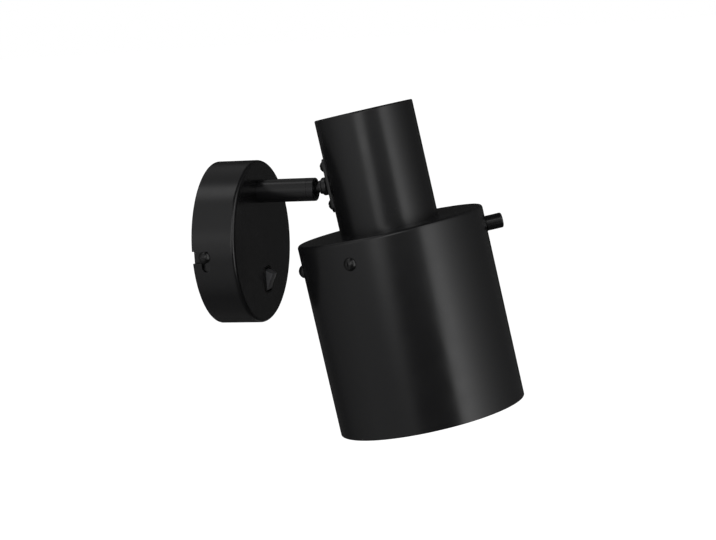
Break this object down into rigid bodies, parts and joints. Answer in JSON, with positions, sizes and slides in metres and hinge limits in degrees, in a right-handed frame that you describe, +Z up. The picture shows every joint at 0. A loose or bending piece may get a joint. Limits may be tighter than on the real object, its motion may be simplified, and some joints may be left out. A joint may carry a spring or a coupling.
{
  "type": "pivoting spotlight wall light",
  "caption": "Wall spotlight: a round canopy with a rocker switch, a short arm with a ball joint, and a stepped cylinder shade that swivels, tilts and turns round a screw-cap bulb.",
  "frame": {"origin": "centre of the canopy's wall face, halfway between the two wall slots", "axes": "+Y into the wall, +Z up, +X to the right as seen from the room"},
  "size_m": [0.1154, 0.1842, 0.2002],
  "materials": {
    "black_paint": "satin",
    "black_steel": "satin",
    "zinc_steel": "satin",
    "spring_steel": "satin",
    "brass": "satin",
    "white_paint": "satin",
    "black_nylon": "matte",
    "dark_nylon": "satin",
    "pale_nylon": "matte",
    "holder_resin": "satin",
    "steatite": "matte",
    "brown_sleeve": "satin",
    "silicone_sleeve": "matte",
    "cap_metal": "satin",
    "opal_glass": "satin"
  },
  "bodies": {
    "wall_mount": {"wall_bracket": "black_paint", "earth_screw": "brass", "terminal_block": "pale_nylon", "terminal_screws": "brass", "block_screw": "zinc_steel", "canopy": "black_paint", "canopy_screws": "black_steel", "switch_housing": "black_nylon", "switch_contacts": "brass", "switch_leads": "brown_sleeve", "arm_tube": "black_paint", "arm_washer": "zinc_steel", "arm_nut": "zinc_steel", "arm_flex": "silicone_sleeve", "spring_discs": "spring_steel", "socket_cap": "black_paint"},
    "rocker": {"switch_rocker": "dark_nylon"},
    "pressure_cup": {"pressure_cup": "brass"},
    "pivot_ball": {"pivot_ball": "black_steel"},
    "head": {"stud_tube": "black_steel", "stud_collar": "black_paint", "stud_nut": "zinc_steel", "joint_plate": "black_paint", "plate_screws": "black_steel", "upper_shade": "black_paint", "holder_bracket": "zinc_steel", "holder_nipple": "brass", "holder_nut": "zinc_steel", "holder_cap": "holder_resin", "holder_insert": "steatite", "holder_shell": "brass", "holder_contact": "brass", "holder_body": "holder_resin", "shade_ring": "holder_resin", "shade_carrier": "white_paint", "lower_shade": "black_paint", "shade_screws": "black_steel", "handle_pin": "black_paint", "head_flex": "silicone_sleeve", "bulb_cap": "cap_metal", "bulb_glass": "opal_glass"}
  },
  "joints": [
    {"name": "rocker_throw", "type": "hinge", "parent": "wall_mount", "child": "rocker", "pos_m": [0.003, -0.0253, -0.0242], "axis": [-1, 0, 0], "range_deg": [0, 36]},
    {"name": "head_swivel", "type": "hinge", "parent": "wall_mount", "child": "pressure_cup", "pos_m": [0, -0.0603, 0.031], "axis": [0, -1, 0], "range_deg": [-110, 110]},
    {"name": "head_tilt", "type": "hinge", "parent": "pressure_cup", "child": "pivot_ball", "pos_m": [0, -0.0603, 0.031], "axis": [-1, 0, 0], "range_deg": [-18, 18]},
    {"name": "head_turn", "type": "hinge", "parent": "pivot_ball", "child": "head", "pos_m": [0, -0.0603, 0.031], "axis": [0, -0.9859, 0.1675], "range_deg": [-60, 60]}
  ]
}
